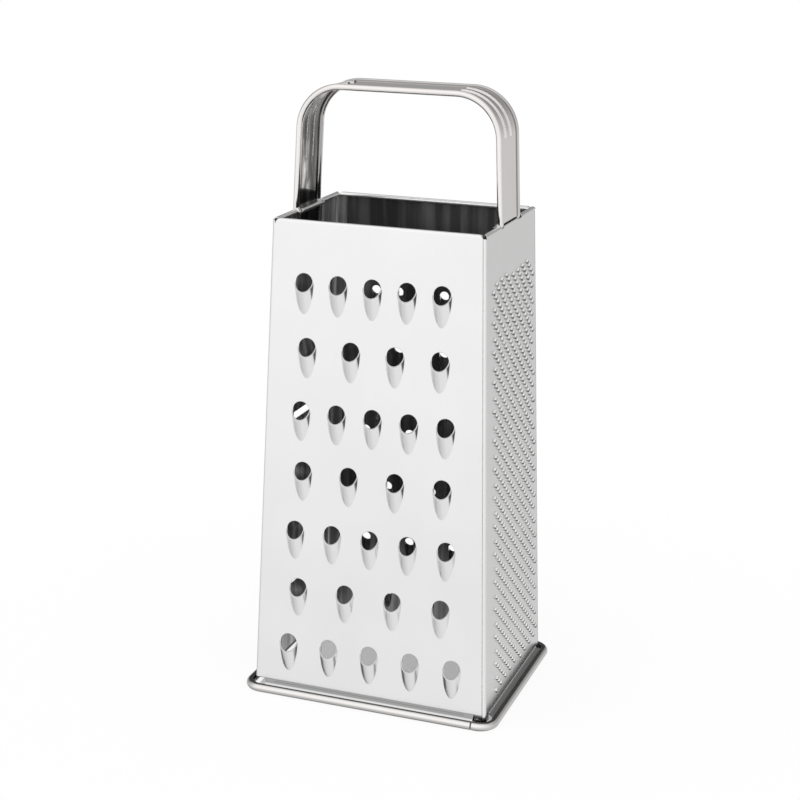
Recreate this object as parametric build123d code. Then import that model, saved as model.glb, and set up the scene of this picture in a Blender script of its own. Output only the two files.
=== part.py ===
from build123d import *
import math
import os
from collections import namedtuple

# Four-sided box grater: four stamped sheet panels lapped at the corners, a strap handle
# trapped in the rolled top edge, and a round bead rim crimped on the flange at the foot.
# Millimetres, +Z up. The origin is on the ground under the middle of the base rim.
# +X runs along the wide front, whose outer side faces -Y.

# Body

base_width = 96.9
base_depth = 74.9
rim_width = 83.9
rim_depth = 63.5
rim_height = 191.0
overall_height = 239.4
sheet = 0.5
overrun = 1.0

# Corners, where one end of each side turns round and laps behind the next side

corner_inner_radius = 0.75
lap_width = 4.0
seam_gap = 0.25

# Rolled top edge

hem_thickness = 2.1
hem_depth = 1.5
mitre_gap = 0.4
corner_relief_radius = 2.3

# Flange at the foot, flared out from each side into the base rim

flange_height = 4.8
flange_bend = 1.0
flange_grip = 0.5
flange_inset = 4.8
corner_tab = 2.9

# Base rim

bead_radius = 1.7
bead_offset = 2.85
bead_flat = 0.1
bead_corner_radius = 6.0
flange_clearance = 0.12
joint_gap = 0.5
joint_inset = 7.5

# Handle

handle_width = 79.8
handle_depth = 23.5
handle_shift = -1.1
handle_bead_radius = 1.2
handle_web = 0.6
handle_web_rise = 0.2
handle_bend_radius = 18.0
handle_foot_depth = 20.0
handle_step = 0.7
step_drop = 0.95
step_rise = 1.3
step_radius = 1.4
leg_clearance = 0.05
sill_drop = 0.5
crest_depth = 1.2
crest_radius = 0.8
pocket_clearance = 0.3
pocket_slit = 0.5
rib_width = 2.3
rib_height = 0.45
rib_sink = 0.25
rib_spacing = 6.4
groove_width = 1.6
right_rib_length = 0.1
left_rib_length = 13.0
rib_bar_length = 0.3

# Coarse teeth on the front, one entry for each row from the foot up

Scoop = namedtuple("Scoop", "width radius lip_drop lip_height tip_drop")

mouth_step = 0.12
coarse_scoop = Scoop(width=7.5, radius=3.75, lip_drop=3.8, lip_height=2.6, tip_drop=12.3)
coarse_height_shares = (0.116, 0.241, 0.3645, 0.492, 0.6175, 0.7485, 0.878)
coarse_counts = (5, 4, 5, 4, 5, 4, 5)
coarse_span_shares = (0.713, 0.628, 0.672, 0.625, 0.655, 0.609, 0.639)
coarse_shift_shares = (0.003, -0.011, -0.012, -0.005, -0.009, -0.017, -0.034)

# Medium teeth on the back

medium_scoop = Scoop(width=4.7, radius=2.35, lip_drop=2.4, lip_height=1.5, tip_drop=7.6)
medium_column_pitch = 9.8
medium_row_pitch = 12.2
medium_foot_margin = 17.0
medium_rim_margin = 19.0
medium_side_margin = 10.0

# Slicing blades on the left

slicer_scoop = Scoop(width=42.0, radius=2.9, lip_drop=2.9, lip_height=2.1, tip_drop=12.0)
slicer_height_shares = (0.17, 0.36, 0.55, 0.74)

# Zesting spikes on the right, punched with a square point and set out along slanting lines

spike_foot_width = 1.75
spike_crest_width = 1.05
spike_hole_width = 0.75
spike_height = 0.75
spike_column_pitch = 2.47
spike_line_drop = 2.07
spike_line_pitch = 5.65
spike_front_margin = 10.7
spike_back_margin = 5.5
spike_foot_margin = 10.0
spike_rim_margin = 19.2

corner_radius = corner_inner_radius + sheet
hem_radius = hem_thickness / 2
fold_height = rim_height - hem_radius
skin_foot = flange_height - corner_tab
bead_height = bead_radius - bead_flat
flange_across = bead_offset - flange_bend
flange_down = flange_height - bead_height
flange_turn = math.atan2(flange_across, flange_down)
flange_turn += math.asin((flange_bend + sheet / 2) / math.hypot(flange_across, flange_down))
flange_slope = (math.sin(flange_turn), -math.cos(flange_turn))

# The two kinds of face: how far out the skin lies and how far it runs, at foot and rim

FaceSize = namedtuple("FaceSize", "out_foot out_rim run_foot run_rim")

wide_face = FaceSize(base_depth / 2, rim_depth / 2, base_width / 2, rim_width / 2)
narrow_face = FaceSize(base_width / 2, rim_width / 2, base_depth / 2, rim_depth / 2)


def between(foot_value, rim_value, height):
    """Value at a height on a straight line from the flange to the fold."""
    share = (height - flange_height) / (fold_height - flange_height)
    return foot_value + (rim_value - foot_value) * share


def out_at(size, height):
    return between(size.out_foot, size.out_rim, height)


def run_at(size, height):
    return between(size.run_foot, size.run_rim, height)


def lean(size):
    """Angle in radians by which a face leans in towards the top."""
    return math.atan((size.out_foot - size.out_rim) / (fold_height - flange_height))


# Every panel is built as if it faced -Y, then turned into its place.


def on_face(size, run, height):
    """Place on a face: X along it, Y up the slope and Z out of the sheet."""
    angle = lean(size)
    place = Plane(
        origin=(run, -out_at(size, height), height),
        x_dir=(1, 0, 0),
        z_dir=(0, -math.cos(angle), math.sin(angle)),
    )
    return place.location


def arc_through(centre, radius, start_angle, end_angle):
    """Arc in the XY plane, with its angles in degrees."""
    middle_angle = (start_angle + end_angle) / 2
    points = []
    for angle in (start_angle, middle_angle, end_angle):
        turn = math.radians(angle)
        points.append((centre[0] + radius * math.cos(turn), centre[1] + radius * math.sin(turn)))
    return ThreePointArc(*points)


# Panel sheets


def panel_profile(size):
    """End view of a panel, X out of the box and Y up: flange, skin and rolled top edge."""
    fold = (size.out_rim - hem_radius, fold_height)
    ply = size.out_rim - hem_thickness
    hem_foot = rim_height - hem_depth
    bend = (size.out_foot + flange_bend, flange_height)
    bend_end = 180 + math.degrees(flange_turn)
    reach = math.hypot(flange_across, flange_down)
    length = math.sqrt(reach ** 2 - (flange_bend + sheet / 2) ** 2) + flange_grip

    def on_flange(radius, along):
        out = bend[0] - radius * math.cos(flange_turn) + along * flange_slope[0]
        return (out, bend[1] - radius * math.sin(flange_turn) + along * flange_slope[1])

    outer = flange_bend
    inner = flange_bend + sheet
    outline = [
        Line((size.out_foot, flange_height), (size.out_rim, fold_height)),
        arc_through(fold, hem_radius, 0, 180),
        Line((ply, fold_height), (ply, hem_foot)),
        Line((ply, hem_foot), (ply + sheet, hem_foot)),
        Line((ply + sheet, hem_foot), (ply + sheet, fold_height)),
        arc_through(fold, hem_radius - sheet, 180, 0),
        Line((size.out_rim - sheet, fold_height), (size.out_foot - sheet, flange_height)),
        arc_through(bend, inner, 180, bend_end),
        Line(on_flange(inner, 0), on_flange(inner, length)),
        Line(on_flange(inner, length), on_flange(outer, length)),
        Line(on_flange(outer, length), on_flange(outer, 0)),
        arc_through(bend, outer, bend_end, 180),
    ]
    plane = Plane(origin=(0, 0, 0), x_dir=(0, -1, 0), z_dir=(-1, 0, 0))
    return plane * make_face(outline)


def panel_outline(size):
    """Front view of a panel, with its skin stopping at the bend on the left and at the seam."""
    flange_run = size.run_foot - flange_inset
    top = rim_height + overrun

    def half(end_gap):
        return [
            (flange_run, 0),
            (flange_run, flange_height),
            (size.run_foot - end_gap, flange_height),
            (size.run_rim - end_gap, fold_height),
            (size.run_rim, fold_height),
            (size.run_rim, top),
        ]

    left_side = [(-run, height) for run, height in reversed(half(corner_radius))]
    return Plane.XZ * make_face(Polyline(*half(corner_radius + seam_gap), *left_side, close=True))


def skin_strip(size, low, high, start, end):
    """Plain skin between two heights, from one place along the side to another."""
    profile = [
        (out_at(size, low), low),
        (out_at(size, high), high),
        (out_at(size, high) - sheet, high),
        (out_at(size, low) - sheet, low),
    ]
    plane = Plane(origin=(0, 0, 0), x_dir=(0, -1, 0), z_dir=(-1, 0, 0))
    face = plane * make_face(Polyline(*profile, close=True))
    return Pos((start + end) / 2, 0, 0) * extrude(face, amount=(end - start) / 2, both=True)


def bent_sheet(size):
    depth = size.out_foot + bead_offset + bead_radius
    blank = extrude(panel_profile(size), amount=size.run_foot, both=True)
    return blank & extrude(panel_outline(size), amount=depth)


def corner_section(size, height):
    """Level cut through the left end of a panel, which turns and laps behind the next one."""
    out = out_at(size, height)
    run = run_at(size, height)
    bend_run = corner_radius - run
    bend_out = out - corner_radius
    lap_end_out = bend_out - lap_width
    step = sheet - run
    deep = 2 * sheet - run
    centre = (bend_run, -bend_out)
    notch = math.sqrt(corner_inner_radius ** 2 - (corner_inner_radius - sheet) ** 2)
    notch_angle = math.degrees(math.asin(notch / corner_inner_radius))
    edges = [
        arc_through(centre, corner_radius, -90, -180),
        Line((-run, -bend_out), (step, -bend_out)),
        Line((step, -bend_out), (step, -lap_end_out)),
        Line((step, -lap_end_out), (deep, -lap_end_out)),
        Line((deep, -lap_end_out), (deep, -bend_out - notch)),
        arc_through(centre, corner_inner_radius, notch_angle - 180, -90),
        Line((bend_run, -out + sheet), (bend_run, -out)),
    ]
    return Pos(0, 0, height) * make_face(edges)


def corner_return(size, foot):
    sections = [corner_section(size, foot), corner_section(size, rim_height - hem_depth)]
    return loft(sections, ruled=True)


def cornered(panel, size, turned_tab, seam_tab):
    """Adds the turned corner; the tabs carry the skin down past the flange at either end."""
    inner = size.run_foot - flange_inset + sheet
    if turned_tab:
        panel = panel + skin_strip(size, skin_foot, flange_height, corner_radius - size.run_foot, -inner)
    if seam_tab:
        outer = size.run_foot - corner_radius - seam_gap
        panel = panel + skin_strip(size, skin_foot, flange_height, inner, outer)
    return panel + corner_return(size, skin_foot if turned_tab else flange_height)


def mitre_cutter(size, side):
    """Block beyond the slanting end of the rolled edge at one corner."""
    edge = size.out_rim + hem_thickness
    low = rim_height - hem_depth
    above = (Align.CENTER, Align.MIN, Align.MIN)
    block = Box(2 * edge, edge, hem_depth + overrun, align=above)
    corner = Pos(side * size.run_rim, -size.out_rim, low)
    return corner * Rot(0, 0, -side * 45) * Pos(0, -mitre_gap / 2, 0) * block


def relief_cutter(size, side):
    """Rounds the top corner of a wide panel."""
    radius = corner_relief_radius
    end = size.run_rim - corner_radius
    thick = 2 * hem_thickness
    block = Box(radius + corner_radius + overrun, thick, radius + overrun, align=Align.MIN)
    standing = (Align.CENTER, Align.CENTER, Align.MIN)
    cutter = block - Rot(-90, 0, 0) * Cylinder(radius, thick, align=standing)
    if side < 0:
        cutter = mirror(cutter, about=Plane.YZ)
    place = (side * (end - radius), -size.out_rim - overrun, rim_height - radius)
    return Pos(*place) * cutter


# Punched scoops, used for the coarse teeth, the medium teeth and the slicing blades


def punch_outline(width, radius):
    if width > 2 * radius:
        return SlotOverall(width, 2 * radius)
    return Circle(radius)


def scoop_tools(scoop):
    """Raised scoop and the cut that hollows it, for a hole centred on the origin of the face."""
    slope = scoop.lip_height / (scoop.tip_drop - scoop.lip_drop)
    tilt = math.atan(slope)
    reach = scoop.tip_drop + scoop.radius + 2 * sheet / slope
    depth = scoop.radius / math.cos(tilt) - scoop.lip_height - (scoop.lip_drop + scoop.radius) * slope
    punch = Plane(
        origin=(0, scoop.radius, -depth),
        x_dir=(1, 0, 0),
        z_dir=(0, -math.cos(tilt), -math.sin(tilt)),
    )
    inner_width = scoop.width - 2 * sheet
    inner_radius = scoop.radius - sheet
    outer = extrude(punch * punch_outline(scoop.width, scoop.radius), amount=reach)
    inner = extrude(punch * punch_outline(inner_width, inner_radius), amount=reach)
    span = 2 * (scoop.width + reach)
    lip_plane = Plane(origin=(0, 0, 0), x_dir=(1, 0, 0), z_dir=(0, scoop.lip_height, scoop.lip_drop))
    above_lip = extrude(lip_plane * Rectangle(span, span), amount=span)
    below = extrude(Plane.XY.offset(-sheet / 2) * Rectangle(span, span), amount=-span)
    upper_half = Pos(0, span / 2) * Rectangle(span, span)
    hole = punch_outline(inner_width + 2 * mouth_step, inner_radius + mouth_step) & upper_half
    mouth = extrude(Plane.XY.offset(-sheet - overrun) * hole, amount=sheet + 2 * overrun)
    return outer - above_lip - below, (inner - above_lip) + mouth


def punched(panel, size, scoop, places):
    scoop_body, cutter = scoop_tools(scoop)
    bodies = [on_face(size, run, height) * scoop_body for run, height in places]
    cutters = [on_face(size, run, height) * cutter for run, height in places]
    return panel + bodies - cutters


def coarse_places():
    places = []
    rows = zip(coarse_height_shares, coarse_counts, coarse_span_shares, coarse_shift_shares)
    for height_share, count, span_share, shift_share in rows:
        height = height_share * rim_height
        run = run_at(wide_face, height)
        for index in range(count):
            offset = 2 * index / (count - 1) - 1
            places.append(((offset * span_share + shift_share) * run, height))
    return places


def medium_places():
    places = []
    height = medium_foot_margin
    row = 0
    while height <= rim_height - medium_rim_margin:
        half = run_at(wide_face, height) - medium_side_margin
        stagger = (row % 2) / 2
        columns = math.ceil(half / medium_column_pitch)
        for column in range(-columns, columns):
            run = (column + stagger) * medium_column_pitch
            if abs(run) <= half:
                places.append((run, height))
        height += medium_row_pitch
        row += 1
    return places


def slicer_places():
    return [(0, share * rim_height) for share in slicer_height_shares]


def spike_places():
    """Slanting lines of spikes, each line half a step on from the last."""
    places = []
    start = -run_at(narrow_face, rim_height / 2) + spike_front_margin
    lines = math.ceil((rim_height + base_depth) / spike_line_pitch)
    steps = math.ceil(base_depth / spike_column_pitch)
    for line in range(lines):
        for step in range(steps):
            along = step + (line % 2) / 2
            run = start + along * spike_column_pitch
            height = spike_foot_margin + line * spike_line_pitch - along * spike_line_drop
            if height < spike_foot_margin or height > rim_height - spike_rim_margin:
                continue
            if run > run_at(narrow_face, height) - spike_back_margin:
                continue
            places.append((run, height))
    return places


def spiked(panel, size, places):
    """Raises a burr with a square hole at each place, with its corners up and down."""
    foot = spike_foot_width / 2
    crest = spike_crest_width / 2
    slope = [(-foot, -sheet / 2), (foot, -sheet / 2), (crest, spike_height), (-crest, spike_height)]
    ridge = Polyline(*slope, close=True)
    along = extrude(Plane.XZ * make_face(ridge), amount=spike_foot_width, both=True)
    across = extrude(Plane.YZ * make_face(ridge), amount=spike_foot_width, both=True)
    burr = Rot(0, 0, 45) * (along & across)
    length = sheet + spike_height + 2 * overrun
    standing = (Align.CENTER, Align.CENTER, Align.MIN)
    hole = Box(spike_hole_width, spike_hole_width, length, align=standing)
    hole = Pos(0, 0, -sheet - overrun) * Rot(0, 0, 45) * hole
    burrs = [on_face(size, run, height) * burr for run, height in places]
    holes = [on_face(size, run, height) * hole for run, height in places]
    return panel + burrs - holes


# Pocket in the rolled edge of a narrow side, where a handle leg goes in

leg_half = handle_depth / 2
slot_half = leg_half + abs(handle_shift) + pocket_clearance
pocket_out = rim_width / 2 - sheet - 2 * handle_bead_radius - 2 * leg_clearance
pocket_top = rim_height - crest_radius
web_half = leg_half - 2 * handle_bead_radius - pocket_clearance


def with_pocket(panel, front):
    """Opens the rolled edge for the leg and steps its back ply inwards round it.

    Between the leg's edge beads a straight sill of skin stays up in front of its web.
    """
    ply = rim_width / 2 - hem_thickness
    hem_foot = rim_height - hem_depth
    above = (Align.CENTER, Align.MIN, Align.MIN)
    slot = Box(2 * slot_half, 2 * hem_thickness, hem_depth + overrun, align=above)
    slot = Pos(0, -rim_width / 2 + sheet, hem_foot) * slot
    crown = Box(2 * slot_half, 2 * hem_thickness, hem_radius + overrun, align=above)
    crown = Pos(0, -rim_width / 2 - overrun, fold_height) * crown
    middle = front * abs(handle_shift)
    sill_top = rim_height - sill_drop
    sill = skin_strip(narrow_face, fold_height, sill_top, middle - web_half, middle + web_half)
    open_end = front * (slot_half - pocket_slit)
    closed_start = -front * (leg_half - abs(handle_shift) + pocket_clearance)
    closed_end = -front * slot_half
    stepped_ply = [
        (open_end, -pocket_out),
        (closed_start, -pocket_out),
        (closed_end, -ply - sheet),
        (closed_end, -ply),
        (closed_start, -pocket_out + sheet),
        (open_end, -pocket_out + sheet),
    ]
    section = Pos(0, 0, hem_foot) * make_face(Polyline(*stepped_ply, close=True))
    pocket = extrude(section, amount=pocket_top - hem_foot)
    return panel - slot - crown + sill + pocket + crest(front)


def crest(front):
    """Rounded top of the pocket, which fills the space between the leg's two edge beads."""
    inner = sheet - pocket_out
    outer = handle_web / 2 - handle_web_rise + pocket_clearance - in_pocket(rim_height)
    low = rim_height - crest_depth
    shoulder = rim_height - crest_radius
    outline = [
        Line((inner, low), (inner, shoulder)),
        arc_through((inner - crest_radius, shoulder), crest_radius, 0, 90),
        Line((inner - crest_radius, rim_height), (outer, rim_height)),
        Line((outer, rim_height), (outer, low)),
        Line((outer, low), (inner, low)),
    ]
    block = extrude(Plane.YZ * make_face(outline), amount=web_half, both=True)
    return Pos(front * abs(handle_shift), 0, 0) * block


# Panels


def mitred(panel, size):
    for side in (1, -1):
        panel = panel - mitre_cutter(size, side)
    return panel


def wide_panel(turned_tab):
    panel = mitred(bent_sheet(wide_face), wide_face)
    for side in (1, -1):
        panel = panel - relief_cutter(wide_face, side)
    return cornered(panel, wide_face, turned_tab, True)


def narrow_panel(front, seam_tab):
    """Narrow side; front tells which of its ends meets the front of the box."""
    panel = with_pocket(mitred(bent_sheet(narrow_face), narrow_face), front)
    return cornered(panel, narrow_face, True, seam_tab)


def front_panel():
    return punched(wide_panel(False), wide_face, coarse_scoop, coarse_places())


def back_panel():
    return Rot(0, 0, 180) * punched(wide_panel(True), wide_face, medium_scoop, medium_places())


def right_panel():
    return Rot(0, 0, 90) * spiked(narrow_panel(-1, True), narrow_face, spike_places())


def left_panel():
    return Rot(0, 0, -90) * punched(narrow_panel(1, False), narrow_face, slicer_scoop, slicer_places())


# Handle


step_foot = rim_height - step_drop
step_top = step_foot + step_rise
bar_middle = overall_height - handle_bead_radius


def in_pocket(height):
    """Distance from the middle to the centre of the leg's edge bead, inside the box."""
    return out_at(narrow_face, height) - sheet - leg_clearance - handle_bead_radius


def above_step(height):
    """The same distance above the small step, where the legs lean in towards the bar."""
    low = in_pocket(step_foot) + handle_step
    high = handle_width / 2 - handle_bead_radius
    return low + (high - low) * (height - step_top) / (bar_middle - step_top)


def strap_path(offset, foot, bar_end=None):
    """Line of the strap, up the right leg and along the bar, set out by an offset."""
    corner = (above_step(bar_middle) + offset, 0, bar_middle + offset)
    bend = handle_bend_radius - handle_bead_radius + offset
    if bar_end is not None:
        foot_point = (above_step(foot) + offset, 0, foot)
        return FilletPolyline(foot_point, corner, (bar_end, 0, corner[2]), radius=bend)
    leg = [
        (in_pocket(foot) + offset, 0, foot),
        (in_pocket(step_foot) + offset, 0, step_foot),
        (above_step(step_top) + offset, 0, step_top),
        corner,
    ]
    other_leg = [(-out, run, height) for out, run, height in reversed(leg)]
    radii = [step_radius, step_radius, bend, bend, step_radius, step_radius]
    return FilletPolyline(*leg, *other_leg, radius=radii)


def swept(path, outline, run):
    """Outline, drawn with X along the depth and Y out of the handle, drawn along a path."""
    place = Plane(origin=path @ 0, x_dir=(0, 1, 0), z_dir=path % 0)
    return Pos(0, run, 0) * sweep(place * outline, path=path)


def handle():
    foot = rim_height - handle_foot_depth
    edge = handle_depth / 2 - handle_bead_radius
    strap = swept(strap_path(handle_web_rise, foot), Rectangle(2 * edge, handle_web), handle_shift)
    for side in (1, -1):
        strap += swept(strap_path(0, foot), Circle(handle_bead_radius), handle_shift + side * edge)
    rib_low = handle_web_rise + handle_web / 2 - rib_sink
    rib = (rib_low, rib_low + rib_sink + rib_height, rib_width)
    groove_top = handle_web_rise - handle_web / 2 + rib_height
    groove = (groove_top - rib_height - handle_bead_radius, groove_top, groove_width)
    for side in (1, -1):
        strap = strap + pressed(*rib, handle_shift + side * rib_spacing / 2)
        strap = strap - pressed(*groove, handle_shift + side * rib_spacing / 2)
    return strap


def pressed(low, high, width, run):
    """Bars round both bends, between two distances out from the strap's middle line."""
    leg_lean = math.atan2(above_step(step_top) - above_step(bar_middle), bar_middle - step_top)
    reach = (handle_bend_radius - handle_bead_radius) * math.tan((math.pi / 2 - leg_lean) / 2)
    bars = []
    for leg_length in (right_rib_length, left_rib_length):
        foot = bar_middle - (reach + leg_length) * math.cos(leg_lean)
        path = strap_path((low + high) / 2, foot, above_step(bar_middle) - reach - rib_bar_length)
        bars.append(swept(path, Rectangle(width, high - low), run))
    return [bars[0], mirror(bars[1], about=Plane.YZ)]


# Base rim


def base_rim():
    """Rolled bead round the foot, split by one butt joint at the front."""
    half_width = base_width / 2 + bead_offset
    half_depth = base_depth / 2 + bead_offset
    joint = half_width - joint_inset
    points = [
        (joint + joint_gap / 2, -half_depth, bead_height),
        (half_width, -half_depth, bead_height),
        (half_width, half_depth, bead_height),
        (-half_width, half_depth, bead_height),
        (-half_width, -half_depth, bead_height),
        (joint - joint_gap / 2, -half_depth, bead_height),
    ]
    path = FilletPolyline(*points, radius=bead_corner_radius)
    mouth = Pos(bead_radius, 0) * Rectangle(2 * bead_radius, sheet + 2 * flange_clearance)
    ring = Circle(bead_radius) - Circle(bead_radius - sheet)
    ring = ring - Rot(0, 0, 90 - math.degrees(flange_turn)) * mouth
    place = Plane(origin=path @ 0, x_dir=(0, 1, 0), z_dir=path % 0)
    bead = sweep(place * ring, path=path)
    hanging = (Align.CENTER, Align.CENTER, Align.MAX)
    return bead - Box(2 * base_width, 2 * base_width, base_width, align=hanging)


nodes = {
    "front_panel": front_panel,
    "right_panel": right_panel,
    "back_panel": back_panel,
    "left_panel": left_panel,
    "handle": handle,
    "base_rim": base_rim,
}

os.makedirs("parts", exist_ok=True)
for name, build in nodes.items():
    shape = build()
    solids = shape.solids()
    print(name, len(solids), "solid, volume", round(shape.volume, 1))
    export_step(shape, f"parts/{name}.step")
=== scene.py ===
import math

import bpy
from mathutils import Matrix, Vector

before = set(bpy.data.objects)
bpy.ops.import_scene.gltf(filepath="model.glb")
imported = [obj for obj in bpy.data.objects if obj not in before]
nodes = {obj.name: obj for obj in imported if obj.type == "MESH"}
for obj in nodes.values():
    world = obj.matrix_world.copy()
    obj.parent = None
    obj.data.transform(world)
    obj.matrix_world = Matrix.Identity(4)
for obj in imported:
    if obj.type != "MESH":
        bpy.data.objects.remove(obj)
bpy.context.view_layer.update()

scene = bpy.context.scene

# Shape of the CAD part that the materials follow, in metres

rim_top = 0.191
width_taper = 0.0352  # how much half the width shrinks for each metre of height
depth_taper = 0.0307
corner_half_width = 0.0489  # half sizes that the corners' inner lines are measured from
corner_half_depth = 0.0379
bead_start = 0.0475  # beyond this in X, the rim runs along a narrow side
handle_shift = 0.0011  # the handle's middle lies this much nearer to the front

even = (1.0, 1.0, 1.0)  # noise scale that is the same in all directions
white = (1.0, 1.0, 1.0, 1.0)


# Node tree helpers


class Tree:
    """Short way to write a shader tree: every call adds a node and links what is passed in."""

    def __init__(self, tree):
        self.tree = tree
        tree.nodes.clear()

    def add(self, kind, inputs=None, **settings):
        node = self.tree.nodes.new(kind)
        for key, value in settings.items():
            setattr(node, key, value)
        for key, value in (inputs or {}).items():
            self.put(node.inputs[key], value)
        return node

    def put(self, socket, value):
        if isinstance(value, bpy.types.NodeSocket):
            self.tree.links.new(value, socket)
        else:
            socket.default_value = value

    def math(self, operation, a, b=0.0, clamp=False):
        node = self.add("ShaderNodeMath", operation=operation, use_clamp=clamp)
        self.put(node.inputs[0], a)
        self.put(node.inputs[1], b)
        return node.outputs[0]

    def size(self, value):
        return self.math("ABSOLUTE", value)

    def product(self, *shares):
        result = shares[0]
        for share in shares[1:]:
            result = self.math("MULTIPLY", result, share)
        return result

    def spread(self, value, low, high, new_low, new_high):
        """Maps low..high to new_low..new_high with soft ends."""
        node = self.add("ShaderNodeMapRange", interpolation_type="SMOOTHSTEP")
        for index, item in enumerate((value, low, high, new_low, new_high)):
            self.put(node.inputs[index], item)
        return node.outputs[0]

    def rise(self, value, low, high):
        return self.spread(value, low, high, 0.0, 1.0)

    def fall(self, value, low, high):
        return self.spread(value, low, high, 1.0, 0.0)

    def shade(self, share, level):
        """1 where share is 0, and down to level where it is 1."""
        return self.spread(share, 0.0, 1.0, 1.0, level)

    def noise(self, coords, stretch, scale, detail=3.0, rough=0.55):
        mapping = self.add("ShaderNodeMapping", {"Vector": coords, "Scale": stretch})
        node = self.add(
            "ShaderNodeTexNoise",
            {"Vector": mapping.outputs[0], "Scale": scale, "Detail": detail, "Roughness": rough},
        )
        return node.outputs["Fac"]

    def mix(self, share, a, b):
        """From colour a, where share is 0, to colour b."""
        node = self.add("ShaderNodeMix", data_type="RGBA", blend_type="MIX")
        self.put(node.inputs[0], share)
        self.put(node.inputs[6], a)
        self.put(node.inputs[7], b)
        return node.outputs[2]

    def blend(self, share, a, b):
        """From number a, where share is 0, to number b."""
        node = self.add("ShaderNodeMix", data_type="FLOAT")
        self.put(node.inputs[0], share)
        self.put(node.inputs[2], a)
        self.put(node.inputs[3], b)
        return node.outputs[0]

    def xyz(self, vector):
        return self.add("ShaderNodeSeparateXYZ", {0: vector}).outputs

    def ramp(self, value, stops):
        """Brightness ramp, its stops given as place from 0 to 1 and value."""
        node = self.add("ShaderNodeValToRGB", {"Fac": value})
        points = node.color_ramp.elements
        while len(points) < len(stops):
            points.new(1.0)
        for point, (place, level) in zip(points, stops):
            point.position = place
            point.color = (level, level, level, 1.0)
        return node.outputs["Color"]


def new_material(name):
    material = bpy.data.materials.new(name)
    material.use_nodes = True
    tree = Tree(material.node_tree)
    coords = tree.add("ShaderNodeTexCoord").outputs["Object"]
    return material, tree, coords


# Inside of the box: painted shade, painted upright reflection streaks and a painted highlight
# line in each corner, and less metallic steel than the outside


def inside_box(t, position, normal):
    """1 on surfaces of the sides that face the middle of the box, below the rolled edge."""
    edge_start, edge_end = rim_top - 0.0019, rim_top - 0.0012
    inward_full, inward_none = -0.012, -0.004
    px, py, pz = t.xyz(position)
    nx, ny, _ = t.xyz(normal)
    across = t.math("ADD", t.math("MULTIPLY", px, nx), t.math("MULTIPLY", py, ny))
    below = t.fall(pz, edge_start, edge_end)
    return t.math("MULTIPLY", t.fall(across, inward_full, inward_none), below)


def corner_distance(t, along, height, half_size, taper):
    """How far a point lies from the tapering line that is half_size out at the ground."""
    line = t.math("SUBTRACT", half_size, t.math("MULTIPLY", height, taper))
    return t.math("SUBTRACT", line, t.size(along))


def inner_painted_reflections(t, position):
    """Painted upright reflection streaks inside and a painted highlight line in each corner."""
    streak_stretch, streak_scale = (1.0, 1.0, 0.04), 230.0
    streak_low, streak_high = 0.75, 1.9
    line_edge, line_level = (0.0010, 0.0019), 3.2
    px, py, pz = t.xyz(position)
    noise = t.noise(position, streak_stretch, streak_scale)
    streaks = t.spread(noise, 0.42, 0.68, streak_low, streak_high)
    wide_gap = corner_distance(t, px, pz, corner_half_width, width_taper)
    deep_gap = corner_distance(t, py, pz, corner_half_depth, depth_taper)
    corner = t.math("MAXIMUM", wide_gap, deep_gap)
    return t.math("MULTIPLY", streaks, t.spread(corner, *line_edge, line_level, 1.0))


# Painted shade and painted reflections on the outside, set by height, place and which way the
# surface faces. Each function gives the share of the steel's brightness that is left. A pair of
# values is where a mark starts and where it is complete: a height or distance in metres, or how
# much the surface faces one way, from -1 to 1.


def flange_shade(t, position, fold, flat, gap, fold_top=0.0047):
    """Painted reflections on the fold and the flange and painted shade in the gap at the rim:
    their brightness from above downwards.
    """
    flat_to_fold = (0.0032, 0.0036)
    gap_to_flat = (0.0026, 0.0029)
    fade = 0.0006
    height = t.xyz(position)[2]
    lower = t.blend(t.rise(height, *flat_to_fold), flat, fold)
    lower = t.blend(t.rise(height, *gap_to_flat), gap, lower)
    return t.blend(t.rise(height, fold_top, fold_top + fade), lower, 1.0)


def front_painted_shade(t, position, normal):
    """Painted shade and reflections: dark flanks of the teeth, left ones only at the foot, and
    greyer lips over the holes, by which way they face.
    """
    right_turn, right_heights, right_at_foot = (0.74, 0.90), (0.055, 0.10), 0.1
    left_turn, left_heights, left_above = (-0.62, -0.38), (0.026, 0.034), 0.05
    lip_start, lip_end = (0.45, 0.55), (0.66, 0.76)
    teeth_sides, teeth_top = (0.0395, 0.0405), (0.176, 0.180)
    flank_level, lip_level = 0.12, 0.66
    px, _, pz = t.xyz(position)
    nx, _, nz = t.xyz(normal)
    teeth = t.product(t.fall(t.size(px), *teeth_sides), t.fall(pz, *teeth_top))
    right_height = t.spread(pz, *right_heights, right_at_foot, 1.0)
    right = t.product(t.rise(nx, *right_turn), right_height)
    left_height = t.spread(pz, *left_heights, 1.0, left_above)
    left = t.product(t.fall(nx, *left_turn), left_height)
    flank = t.product(t.math("MAXIMUM", right, left), teeth)
    lip = t.product(t.rise(nz, *lip_start), t.fall(nz, *lip_end), teeth)
    shade = t.product(t.shade(flank, flank_level), t.shade(lip, lip_level))
    return t.math("MULTIPLY", shade, flange_shade(t, position, fold=0.40, flat=0.88, gap=0.25))


def side_painted_shade(t, position, normal):
    """Shaded lower sides of the spikes, each spike a little different from the next."""
    downward, above_flange = (-0.45, -0.15), (0.0075, 0.0085)
    spot_scale, spike_level = 420.0, 0.22
    height = t.xyz(position)[2]
    facing = t.xyz(normal)[2]
    spot = t.noise(position, even, spot_scale, detail=2.0)
    below = t.product(
        t.fall(facing, *downward),
        t.rise(height, *above_flange),
        t.spread(spot, 0.35, 0.6, 0.5, 1.0),
    )
    flange = flange_shade(t, position, fold=0.36, flat=0.32, gap=0.05, fold_top=0.0040)
    return t.math("MULTIPLY", t.shade(below, spike_level), flange)


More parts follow.
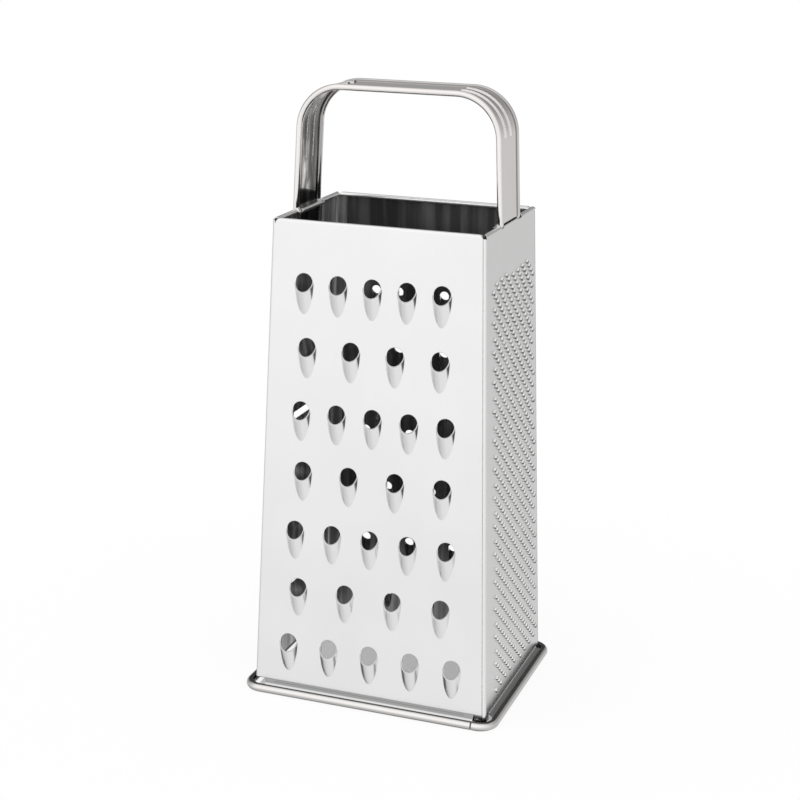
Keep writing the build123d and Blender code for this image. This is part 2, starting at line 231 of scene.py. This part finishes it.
def handle_painted_shade(t, position, normal):
    """Painted shade: dark lines beside the edge beads, and the inner face of the strap shaded,
    with painted streaks and patches of reflection.
    """
    line_start, line_end, line_level = (0.0086, 0.0090), (0.0095, 0.0099), 0.45
    inward, web_edge = (-0.8, -0.6), (0.0091, 0.0096)
    front_start, back_level = (0.0010, 0.0030), 0.22
    groove_place, groove_edge, groove_level = 0.0038, (0.0012, 0.0024), 0.25
    groove_heights = (0.207, 0.213)
    foot_heights, foot_level = (0.193, 0.200), 0.25
    px, py, pz = t.xyz(position)
    nx = t.xyz(normal)[0]
    run = t.math("ADD", py, handle_shift)
    half = t.size(run)
    line = t.product(t.rise(half, *line_start), t.fall(half, *line_end))
    outward = t.math("MULTIPLY", t.math("SIGN", px), nx)
    inner_face = t.product(t.fall(outward, *inward), t.fall(half, *web_edge))
    # Painted reflections as streaks and patches on the inner face, and painted shade towards its
    # back, in the groove and at the foot
    fine_noise = t.noise(position, (1.0, 1.0, 0.05), 420.0, rough=0.6)
    streaks = t.spread(fine_noise, 0.38, 0.62, 0.25, 1.25)
    wide_noise = t.noise(position, (1.0, 1.0, 0.35), 190.0)
    reflection_patches = t.spread(wide_noise, 0.40, 0.60, 0.30, 1.15)
    front_part = t.spread(run, *front_start, 1.0, back_level)
    groove = t.size(t.math("ADD", run, groove_place))
    groove = t.spread(groove, *groove_edge, groove_level, 1.0)
    groove = t.blend(t.rise(pz, *groove_heights), 1.0, groove)
    foot = t.spread(pz, *foot_heights, foot_level, 1.0)
    shade = t.product(streaks, reflection_patches, front_part, groove, foot)
    return t.math("MULTIPLY", t.blend(inner_face, 1.0, shade), t.shade(line, line_level))


def rim_painted_shade(t, position, normal):
    """Painted shade: dark towards the gap at the flange, greyer on the underside."""
    gap_turn, gap_level = (0.22, 0.56), 0.10
    under_turn, under_level = (-0.1, 0.5), 0.70
    px, py, _ = t.xyz(position)
    nx, ny, nz = t.xyz(normal)
    out_x = t.math("MULTIPLY", t.math("SIGN", px), nx)
    out_y = t.math("MULTIPLY", t.math("SIGN", py), ny)
    at_side = t.math("GREATER_THAN", t.size(px), bead_start)
    out = t.blend(at_side, out_y, t.math("MAXIMUM", out_x, out_y))
    gap = t.spread(out, *gap_turn, gap_level, 1.0)
    under = t.spread(nz, *under_turn, under_level, 1.0)
    return t.math("MULTIPLY", gap, under)


# Painted reflections on the fold and flange and painted shade in the gap, for the plain panels
def plain_painted_shade(t, position, normal):
    return flange_shade(t, position, fold=0.42, flat=0.9, gap=0.3)


# Steel of the six pieces

cloud = 0.05  # how much the clouding varies the brightness and the roughness
edge_gain = 1.1  # brightness of the sharp edges
inside_metallic = 0.6
along_x, along_z = 0, 2


def brushed_roughness(t, clouds, streaks, specks, rough):
    result = t.spread(clouds, 0.3, 0.7, rough * (1 - cloud), rough * (1 + 2 * cloud))
    result = t.math("ADD", result, t.spread(streaks, 0.3, 0.7, -0.01, 0.015))
    return t.math("ADD", result, t.spread(specks, 0.62, 0.72, 0.0, 0.03), clamp=True)


def brighter_edges(t, rounded, normal, specks):
    """1 on sharp edges, where the rounded normal leaves the true one, broken up by specks."""
    turn = t.add("ShaderNodeVectorMath", operation="DOT_PRODUCT")
    t.put(turn.inputs[0], rounded)
    t.put(turn.inputs[1], normal)
    edge = t.fall(turn.outputs["Value"], 0.93, 0.999)
    return t.math("MULTIPLY", edge, t.spread(specks, 0.35, 0.6, 0.3, 1.0))


def steel(name, tint, rough, grain_axis, inside, painted_light):
    """Polished sheet steel: fine drawn grain, faint clouding, brighter sharp edges, painted shade
    and reflections on the outside from the last argument, and inside the box painted shade at the
    share of brightness that inside gives, or no inside shade at all if that is None."""
    material, t, coords = new_material(name)
    geometry = t.add("ShaderNodeNewGeometry")
    normal = geometry.outputs["Normal"]
    drawn = list(even)
    drawn[grain_axis] = 0.03
    grain = t.noise(coords, drawn, 2600.0, detail=2.0)
    streaks = t.noise(coords, drawn, 420.0)
    clouds = t.noise(coords, even, 26.0)
    specks = t.noise(coords, even, 900.0, detail=2.0)

    roughness = brushed_roughness(t, clouds, streaks, specks, rough)
    rounded = t.add("ShaderNodeBevel", {"Radius": 0.00035}, samples=4).outputs[0]
    edge = brighter_edges(t, rounded, normal, specks)

    dark = tuple(c * (1 - 0.35 * cloud) for c in tint) + (1.0,)
    light = tuple(min(1.0, c * (1 + 0.35 * cloud)) for c in tint) + (1.0,)
    edge_tint = tuple(min(1.0, c * edge_gain) for c in tint) + (1.0,)
    colour = t.mix(t.rise(clouds, 0.3, 0.7), dark, light)
    colour = t.mix(edge, colour, edge_tint)
    metallic = 1.0
    # Painted shade and painted reflections on the outside, as a share of brightness
    share = painted_light(t, coords, normal)
    # Inside the box the brightness is painted shade with painted reflection streaks, and the
    # steel is less metallic
    if inside is not None:
        within = inside_box(t, coords, geometry.outputs["True Normal"])
        inner_painted_shade = t.math("MULTIPLY", inner_painted_reflections(t, coords), inside)
        share = t.blend(within, share, inner_painted_shade)
        metallic = t.blend(within, 1.0, inside_metallic)
    scaled = t.add("ShaderNodeVectorMath", {0: colour, "Scale": share}, operation="SCALE")

    height = t.math("ADD", t.math("MULTIPLY", grain, 0.5), t.math("MULTIPLY", streaks, 0.5))
    bump = t.add(
        "ShaderNodeBump",
        {"Strength": 0.2, "Distance": 0.00002, "Height": height, "Normal": rounded},
    )
    shader = t.add(
        "ShaderNodeBsdfPrincipled",
        {
            "Base Color": scaled.outputs[0],
            "Metallic": metallic,
            "Roughness": roughness,
            "Normal": bump.outputs[0],
        },
    )
    t.add("ShaderNodeOutputMaterial", {"Surface": shader.outputs[0]})
    return material


def dress_nodes():
    """Gives each CAD node its steel, and smooth shading but for edges sharper than 28 degrees."""
    wide, narrow = (0.86, 0.865, 0.86), (0.86, 0.86, 0.855)
    strap, bead = (0.84, 0.815, 0.80), (0.82, 0.805, 0.79)
    # The number after the grain axis is the painted shade inside the box, as a share of
    # brightness; the last entry paints shade and reflections on the outside
    looks = {
        "front_panel": steel("front steel", wide, 0.22, along_z, 0.16, front_painted_shade),
        "right_panel": steel("right steel", narrow, 0.24, along_z, 0.16, side_painted_shade),
        "back_panel": steel("back steel", wide, 0.22, along_z, 0.16, plain_painted_shade),
        "left_panel": steel("left steel", narrow, 0.22, along_z, 0.45, plain_painted_shade),
        "handle": steel("handle steel", strap, 0.10, along_z, None, handle_painted_shade),
        "base_rim": steel("rim steel", bead, 0.11, along_x, None, rim_painted_shade),
    }
    for name, node in nodes.items():
        node.data.materials.clear()
        node.data.materials.append(looks[name])
        for polygon in node.data.polygons:
            polygon.use_smooth = True
        node.data.set_sharp_from_angle(angle=math.radians(28))


# Floor: pale, and plain white to the camera away from the grater


def floor_material():
    glow_edge, glow_near = (0.07, 0.30), 0.90
    under_half_width, under_half_depth, under_glow = 0.0485, 0.0375, 0.33
    material, t, coords = new_material("pale floor")
    mottle = t.spread(t.noise(coords, even, 30.0), 0.3, 0.7, 0.90, 0.92)
    grey = t.add("ShaderNodeCombineColor", {0: mottle, 1: mottle, 2: mottle}).outputs[0]
    matte = t.add("ShaderNodeBsdfDiffuse", {"Color": grey})
    glow = t.add("ShaderNodeEmission", {"Color": white, "Strength": 1.0})
    away = t.add("ShaderNodeVectorMath", {0: coords}, operation="LENGTH").outputs["Value"]
    plain = t.spread(away, *glow_edge, glow_near, 1.0)
    # Under the grater the floor glows less, so that its shadow shows darker there: painted shade
    x, y, _ = t.xyz(coords)
    under = t.math("LESS_THAN", t.size(x), under_half_width)
    under = t.math("MULTIPLY", under, t.math("LESS_THAN", t.size(y), under_half_depth))
    plain = t.blend(under, plain, under_glow)
    path = t.add("ShaderNodeLightPath")
    share = t.math("MULTIPLY", path.outputs["Is Camera Ray"], plain)
    mixed = t.add("ShaderNodeMixShader", {0: share, 1: matte.outputs[0], 2: glow.outputs[0]})
    t.add("ShaderNodeOutputMaterial", {"Surface": mixed.outputs[0]})
    return material


def add_floor():
    bpy.ops.mesh.primitive_circle_add(
        vertices=96, radius=1.6, fill_type="NGON", location=(0, 0, 0)
    )
    floor = bpy.context.object
    floor.name = "floor"
    floor.data.materials.append(floor_material())
    floor.visible_glossy = False


# What the polished steel mirrors: the world's brightness round the compass, at a few heights in
# degrees above or below the horizon. The compass runs from -X by -Y, +X and +Y, in degrees.

full_turn = 360
brightest = 1.2  # a colour ramp holds no more than 1, so the brightness is divided by this
surroundings = (
    (-75, ((0, 0.28), (60, 0.30), (180, 0.45), (360, 0.28))),
    (
        -58,
        ((0, 0.5), (63, 0.80), (100, 0.86), (210, 0.85), (245, 0.68), (330, 0.5), (360, 0.5)),
    ),
    (
        -43,
        (
            (0, 0.52), (30, 0.68), (63, 0.76), (100, 0.88),
            (210, 0.86), (245, 0.68), (330, 0.55), (360, 0.52),
        ),
    ),
    (
        -24,
        (
            (0, 0.6), (40, 0.85), (70, 0.90), (150, 0.92),
            (215, 0.78), (240, 0.70), (300, 0.6), (360, 0.6),
        ),
    ),
    (
        -7,
        (
            (0, 0.72), (40, 1.05), (72, 1.06), (110, 1.08), (148, 0.92),
            (194, 0.66), (250, 0.65), (300, 0.52), (360, 0.72),
        ),
    ),
    (
        4,
        (
            (0, 0.6), (40, 1.05), (72, 1.08), (150, 0.9), (194, 0.6),
            (250, 0.50), (290, 0.36), (330, 0.45), (360, 0.6),
        ),
    ),
    (
        17,
        (
            (0, 0.45), (40, 1.0), (72, 1.12), (150, 0.9), (200, 0.5),
            (250, 0.34), (290, 0.22), (330, 0.28), (360, 0.45),
        ),
    ),
    (
        36,
        (
            (0, 0.6), (50, 1.15), (100, 1.15), (150, 0.9),
            (200, 0.45), (260, 0.42), (300, 0.40), (360, 0.6),
        ),
    ),
    (64, ((0, 0.9), (45, 1.05), (120, 1.0), (200, 0.7), (300, 0.65), (360, 0.9))),
    (85, ((0, 0.85), (180, 0.85), (360, 0.85))),
)


def compass_and_climb(t):
    """The ray's direction as a place round the compass from 0 to 1, and degrees upwards."""
    x, y, z = t.xyz(t.add("ShaderNodeTexCoord").outputs["Generated"])
    angle = t.math("ADD", t.math("ARCTAN2", y, x), math.pi)
    compass = t.math("MULTIPLY", angle, 0.5 / math.pi, clamp=True)
    climb = t.math("MULTIPLY", t.math("ARCSINE", z), 180 / math.pi)
    return compass, climb


def add_world():
    world = bpy.data.worlds.new("studio")
    world.use_nodes = True
    scene.world = world
    t = Tree(world.node_tree)
    compass, climb = compass_and_climb(t)
    level = None
    last = None
    for angle, stops in surroundings:
        band = t.ramp(compass, [(place / full_turn, value / brightest) for place, value in stops])
        if level is None:
            level = band
        else:
            level = t.mix(t.rise(climb, last, angle), level, band)
        last = angle
    mirrored = t.math("MULTIPLY", level, brightest)
    path = t.add("ShaderNodeLightPath")
    strength = t.blend(path.outputs["Is Camera Ray"], mirrored, 1.0)
    background = t.add("ShaderNodeBackground", {"Color": white, "Strength": strength})
    t.add("ShaderNodeOutputWorld", {"Surface": background.outputs[0]})


def add_overhead_light():
    place, target = Vector((0.0, -0.1, 1.2)), Vector((0.0, 0.0, 0.0))
    data = bpy.data.lights.new("overhead", "AREA")
    data.shape = "RECTANGLE"
    data.size = data.size_y = 1.4
    data.energy = 6.0
    light = bpy.data.objects.new("overhead", data)
    scene.collection.objects.link(light)
    light.location = place
    light.rotation_euler = (target - place).to_track_quat("-Z", "Y").to_euler()
    light.visible_glossy = False


# Camera at the photo's place, solved from the photo's perspective


def add_camera():
    azimuth = math.radians(19.98)
    elevation = math.radians(16.76)
    roll = math.radians(0.780)
    distance = 0.6858
    aim_side, aim_height = -0.00168, 0.11590
    sensor_width, focal_pixels, photo_pixels = 36.0, 1740.3, 800.0

    level_right = Vector((math.cos(azimuth), math.sin(azimuth), 0))
    aim = level_right * aim_side + Vector((0, 0, aim_height))
    forward = Vector(
        (
            -math.sin(azimuth) * math.cos(elevation),
            math.cos(azimuth) * math.cos(elevation),
            -math.sin(elevation),
        )
    )
    level_up = level_right.cross(forward)
    right = level_right * math.cos(roll) + level_up * math.sin(roll)
    up = level_up * math.cos(roll) - level_right * math.sin(roll)

    data = bpy.data.cameras.new("camera")
    data.sensor_width = sensor_width
    data.lens = sensor_width * focal_pixels / photo_pixels
    camera = bpy.data.objects.new("camera", data)
    scene.collection.objects.link(camera)
    turn = Matrix((right, up, -forward)).transposed().to_4x4()
    camera.matrix_world = Matrix.Translation(aim - forward * distance) @ turn
    scene.camera = camera


dress_nodes()
add_floor()
add_world()
add_overhead_light()
add_camera()
scene.view_settings.view_transform = "Standard"
